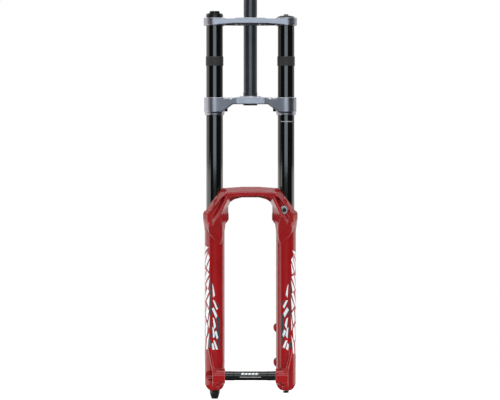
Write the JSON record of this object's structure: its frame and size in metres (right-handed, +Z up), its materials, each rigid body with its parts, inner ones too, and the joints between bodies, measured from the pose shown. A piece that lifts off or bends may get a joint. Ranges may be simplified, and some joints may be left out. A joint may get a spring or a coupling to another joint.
{
  "type": "bicycle suspension fork",
  "caption": "Dual-crown telescopic suspension fork for a mountain bicycle, with an air spring in one leg and a damper in the other.",
  "frame": {"origin": "on the steerer's axis at the crown race seat, the face of the lower crown that the headset's crown race rests on", "axes": "+Z up along the steerer; -Y forward, the way the bicycle rides; +X to the rider's left, the disc brake side"},
  "size_m": [0.2012, 0.101, 0.9],
  "materials": {
    "anodised_crown": "satin blue-grey anodised",
    "black_anodised_tube": "gloss black anodised",
    "steerer_black": "satin black anodised",
    "black_anodised_part": "satin black anodised",
    "plain_aluminium": "machined",
    "dark_steel": "black oxide",
    "bright_steel": "ground",
    "chrome_shaft": "polished",
    "red_casting": "gloss red paint on a magnesium casting",
    "black_rubber": "matt",
    "foam": "oiled open-cell foam",
    "bushing_lining": "grey-bronze lining",
    "black_plastic": "moulded",
    "grey_plastic": "moulded",
    "white_plastic": "moulded",
    "brass": "machined",
    "crush_aluminium": "soft washer"
  },
  "bodies": {
    "crowns": {"steerer_tube": "steerer_black", "steerer_plug": "black_plastic", "lower_crown": "anodised_crown", "upper_crown": "anodised_crown", "lower_crown_pinch_bolts": "dark_steel", "upper_crown_pinch_bolts": "dark_steel", "stanchion_damper_side": "black_anodised_tube", "stanchion_air_side": "black_anodised_tube", "frame_bumper_damper_side": "black_rubber", "frame_bumper_air_side": "black_rubber", "snap_rings": "dark_steel", "damper_top_cap": "black_anodised_part", "damper_cartridge_tube": "plain_aluminium", "compression_valve": "plain_aluminium", "compression_shims": "bright_steel", "damper_bladder": "black_rubber", "damper_seal_head": "plain_aluminium", "damper_shaft_seal": "black_rubber", "air_top_cap": "black_anodised_part", "air_valve_core": "brass", "volume_spacers": "grey_plastic", "air_seal_head": "plain_aluminium", "air_shaft_seal": "black_rubber"},
    "lowers": {"lower_leg_casting": "red_casting", "wiper_seal_damper_side": "black_rubber", "wiper_spring_damper_side": "bright_steel", "foam_ring_damper_side": "foam", "upper_bushing_damper_side": "bushing_lining", "lower_bushing_damper_side": "bushing_lining", "wiper_seal_air_side": "black_rubber", "wiper_spring_air_side": "bright_steel", "foam_ring_air_side": "foam", "upper_bushing_air_side": "bushing_lining", "lower_bushing_air_side": "bushing_lining", "damper_shaft": "chrome_shaft", "rebound_piston": "plain_aluminium", "rebound_glide_ring": "white_plastic", "damper_top_out_bumper": "black_rubber", "damper_foot_bolt": "dark_steel", "air_shaft": "plain_aluminium", "air_piston": "black_plastic", "air_piston_seal": "black_rubber", "air_top_out_bumper": "black_rubber", "bottom_out_bumper": "black_rubber", "air_foot_bolt": "dark_steel", "piston_nuts": "dark_steel", "crush_washers": "crush_aluminium", "hose_guide": "grey_plastic", "hose_guide_bolt": "dark_steel"},
    "axle": {"axle_shaft": "black_anodised_part", "axle_wedge": "dark_steel"},
    "high_speed_adjuster": {"high_speed_knob": "black_anodised_part"},
    "low_speed_adjuster": {"low_speed_knob": "black_anodised_part", "low_speed_rod": "plain_aluminium"},
    "rebound_adjuster": {"rebound_knob": "black_anodised_part", "rebound_rod": "plain_aluminium"},
    "valve_cover": {"valve_cap": "black_anodised_part"}
  },
  "joints": [
    {"name": "fork_travel", "type": "slide", "parent": "crowns", "child": "lowers", "axis": [0, 0, 1], "range_m": [0, 0.2], "stiffness_N_per_m": 5000},
    {"name": "axle_pull", "type": "slide", "parent": "lowers", "child": "axle", "axis": [-1, 0, 0], "range_m": [0, 0.16]},
    {"name": "high_speed_turn", "type": "hinge", "parent": "crowns", "child": "high_speed_adjuster", "pos_m": [-0.076, -0.026, 0.172], "axis": [0, 0, 1], "range_deg": [-120, 0]},
    {"name": "low_speed_turn", "type": "hinge", "parent": "crowns", "child": "low_speed_adjuster", "pos_m": [-0.076, -0.026, 0.179], "axis": [0, 0, 1], "range_deg": [-300, 0]},
    {"name": "rebound_turn", "type": "hinge", "parent": "lowers", "child": "rebound_adjuster", "pos_m": [-0.076, -0.026, -0.636], "axis": [0, 0, 1], "range_deg": [-540, 0]},
    {"name": "valve_cap_lift", "type": "slide", "parent": "crowns", "child": "valve_cover", "axis": [0, 0, 1], "range_m": [0, 0.03]}
  ]
}
